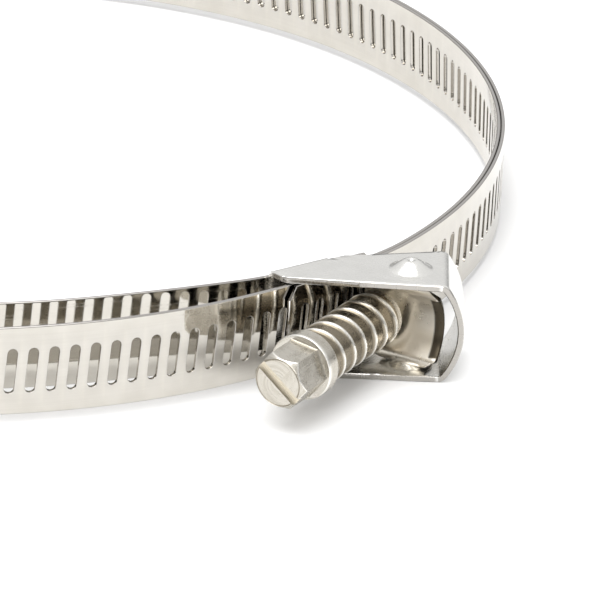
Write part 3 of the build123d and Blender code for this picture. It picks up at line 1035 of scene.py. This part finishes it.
def steel(
    name, light, dark, rough, grain, worn_and_painted_light, bump, depth, painted_hollow_shade=None, stain=0.25, scratch=0.15
):
    """Stainless steel, light and dark in clouds, with its roughness between the two of rough.

    grain stretches the fine lines by flow coordinate, bump and depth are their strength and
    height in millimetres, stain and scratch how many clouds and scratches go in a millimetre.
    A vertex attribute mixes in the edge colour where it is above 0 and the hollow colour where it
    is below:
    darker rounded edges and slot walls on the strip, painted shade on the housing's cut edges and
    on the swivel's cut edges and lip, painted highlight on the screw's crests and edges, and
    painted shade in its thread valleys and groove.
    """
    nodes = Nodes(name)
    flow = nodes.flow()
    lines = nodes.noise(flow, 1.0, 4.0, grain)
    cloud = nodes.noise(flow, stain, 3.0)
    speck = nodes.noise(flow, SPECK_SCALE, 2.0)
    scratches = nodes.noise(flow, scratch, 2.0, SCRATCH_STRETCH)
    thin = nodes.span(scratches, *SCRATCH_SPAN)
    tone = nodes.blend(cloud, lines, CLOUD_IN_TONE)
    color = nodes.mix(nodes.span(tone, *TONE_SPAN), dark, light)
    wear_and_painted_light = nodes.wear_and_painted_light()
    # painted shade in the screw's hollows, where the attribute is below 0
    if painted_hollow_shade is not None:
        color = nodes.mix(nodes.span(wear_and_painted_light, 0.0, -1.0), color, painted_hollow_shade)
    # darker edges, painted shade and painted highlights, where the attribute is above 0
    color = nodes.mix(nodes.span(wear_and_painted_light, 0.0, 1.0), color, worn_and_painted_light)
    spread = nodes.blend(cloud, speck, CLOUD_IN_ROUGHNESS)
    roughness = nodes.span(spread, *ROUGH_SPAN, *rough)
    roughness = nodes.math("ADD", roughness, nodes.math("MULTIPLY", thin, SCRATCH_ROUGHNESS))
    height = nodes.math("SUBTRACT", lines, nodes.math("MULTIPLY", thin, SCRATCH_HEIGHT))
    return nodes.finish(color, roughness, height, bump, depth)


def materials():
    return {
        "strip": steel(
            "rolled_strip_steel",
            light=(0.62, 0.595, 0.545),
            dark=(0.57, 0.545, 0.495),
            rough=(0.04, 0.07),
            grain=(0.08, 5.0, 5.0),
            worn_and_painted_light=(0.48, 0.46, 0.44),
            bump=0.08,
            depth=0.004,
        ),
        "housing": steel(
            "pressed_housing_steel",
            light=(0.87, 0.86, 0.83),
            dark=(0.82, 0.81, 0.78),
            rough=(0.20, 0.28),
            grain=(2.0, 0.5, 2.0),
            # darker: painted shade on the cut edges
            worn_and_painted_light=(0.44, 0.42, 0.39),
            bump=0.10,
            depth=0.006,
            scratch=0.3,
        ),
        "swivel": steel(
            "swivel_plate_steel",
            light=(0.88, 0.83, 0.74),
            dark=(0.82, 0.77, 0.68),
            rough=(0.27, 0.30),
            grain=(0.3, 1.5, 1.5),
            # near black: painted shade on the cut edges and the lip
            worn_and_painted_light=(0.06, 0.05, 0.035),
            bump=0.03,
            depth=0.004,
            stain=0.15,
        ),
        "screw": steel(
            "rolled_screw_steel",
            light=(0.60, 0.57, 0.51),
            dark=(0.48, 0.45, 0.39),
            rough=(0.22, 0.34),
            grain=(5.0, 0.35, 1.0),
            # near white: painted highlight on the crests, the chamfer line and the collar's
            # roundings
            worn_and_painted_light=(0.92, 0.90, 0.85),
            # dark brown: painted shade in the thread valleys and the face's groove
            painted_hollow_shade=(0.25, 0.215, 0.16),
            bump=0.45,
            depth=0.02,
            stain=0.5,
        ),
    }


# ---- camera, floor and light -----------------------------------------------------------------
CAMERA_PLACE = Vector((-361.24, -618.21, 284.17))  # millimetres
CAMERA_HEADING = 35.0      # degrees from +Y toward +X
CAMERA_PITCH = 23.688
CAMERA_ROLL = 1.97
LENS = 277.1
SENSOR_WIDTH = 36.0
CLIP = (0.05, 20.0)        # metres, as are the floor and the lights
FLOOR_REACH = 6.0
FLOOR_GAP = 0.00002
PAPER_WHITE = (0.93, 0.93, 0.93, 1)
PAPER_ROUGHNESS = 0.9
SKY_STOPS = ((0.0, 0.30), (0.12, 0.42), (0.35, 0.98), (0.7, 1.05))  # height, brightness
SKY_STRENGTH = 0.85


def make_camera():
    data = bpy.data.cameras.new("view_camera")
    data.lens = LENS
    data.sensor_width = SENSOR_WIDTH
    data.clip_start, data.clip_end = CLIP
    camera = bpy.data.objects.new("view_camera", data)
    bpy.context.scene.collection.objects.link(camera)
    heading, pitch, roll = radians(CAMERA_HEADING), radians(CAMERA_PITCH), radians(CAMERA_ROLL)
    ahead = Vector((sin(heading) * cos(pitch), cos(heading) * cos(pitch), -sin(pitch)))
    right = Vector((cos(heading), -sin(heading), 0))
    up = right.cross(ahead)
    across = right * cos(roll) + up * sin(roll)
    above = up * cos(roll) - right * sin(roll)
    turn = Matrix((across, above, -ahead)).transposed().to_4x4()
    camera.matrix_world = Matrix.Translation(CAMERA_PLACE * MM) @ turn
    bpy.context.scene.camera = camera


def make_floor():
    mesh = bpy.data.meshes.new("floor")
    low = cad_box[0].z - FLOOR_GAP
    around = ((-1, -1), (1, -1), (1, 1), (-1, 1))
    corners = [(x * FLOOR_REACH, y * FLOOR_REACH, low) for x, y in around]
    mesh.from_pydata(corners, [], [(0, 1, 2, 3)])
    floor = bpy.data.objects.new("floor", mesh)
    bpy.context.scene.collection.objects.link(floor)
    paper = bpy.data.materials.new("white_paper")
    paper.use_nodes = True
    shader = paper.node_tree.nodes["Principled BSDF"]
    shader.inputs["Base Color"].default_value = PAPER_WHITE
    shader.inputs["Roughness"].default_value = PAPER_ROUGHNESS
    shader.inputs["Specular IOR Level"].default_value = 0.0
    mesh.materials.append(paper)


def area_light(name, place, target, size, power):
    """Rectangular lamp aimed at a target, power in watts."""
    data = bpy.data.lights.new(name, "AREA")
    data.shape = "RECTANGLE"
    data.size = size[0]
    data.size_y = size[1]
    data.energy = power
    lamp = bpy.data.objects.new(name, data)
    bpy.context.scene.collection.objects.link(lamp)
    lamp.location = place
    lamp.rotation_euler = (Vector(target) - Vector(place)).to_track_quat("-Z", "Y").to_euler()


def make_light():
    world = bpy.data.worlds.new("studio")
    world.use_nodes = True
    bpy.context.scene.world = world
    tree = world.node_tree
    background = tree.nodes["Background"]
    place = tree.nodes.new("ShaderNodeTexCoord")
    split = tree.nodes.new("ShaderNodeSeparateXYZ")
    ramp = tree.nodes.new("ShaderNodeValToRGB")
    tree.links.new(place.outputs["Generated"], split.inputs["Vector"])
    tree.links.new(split.outputs["Z"], ramp.inputs["Fac"])
    tree.links.new(ramp.outputs["Color"], background.inputs["Color"])
    first, *between, last = SKY_STOPS
    elements = ramp.color_ramp.elements
    for element, (position, value) in zip(elements, (first, last)):
        element.position = position
        element.color = (value, value, value, 1)
    for position, value in between:
        elements.new(position).color = (value, value, value, 1)
    background.inputs["Strength"].default_value = SKY_STRENGTH
    area_light("top_softbox", (-0.3, -0.1, 1.3), (0.0, -0.05, 0), (1.2, 1.2), 14)
    area_light("front_fill", (-1.0, -1.2, 0.9), (0.0, -0.1, 0), (0.9, 0.7), 7)
    bpy.context.scene.view_settings.view_transform = "Standard"


# ---- the object ------------------------------------------------------------------------------
finish_of = materials()
dress(build_strip(), "clamp", "band_strip", finish_of["strip"])
dress(build_housing(), "clamp", "housing", finish_of["housing"])
dress(build_swivel(), "swivel", "swivel_bracket", finish_of["swivel"])
dress(build_screw(), "screw", "worm_screw", finish_of["screw"])
make_camera()
make_floor()
make_light()
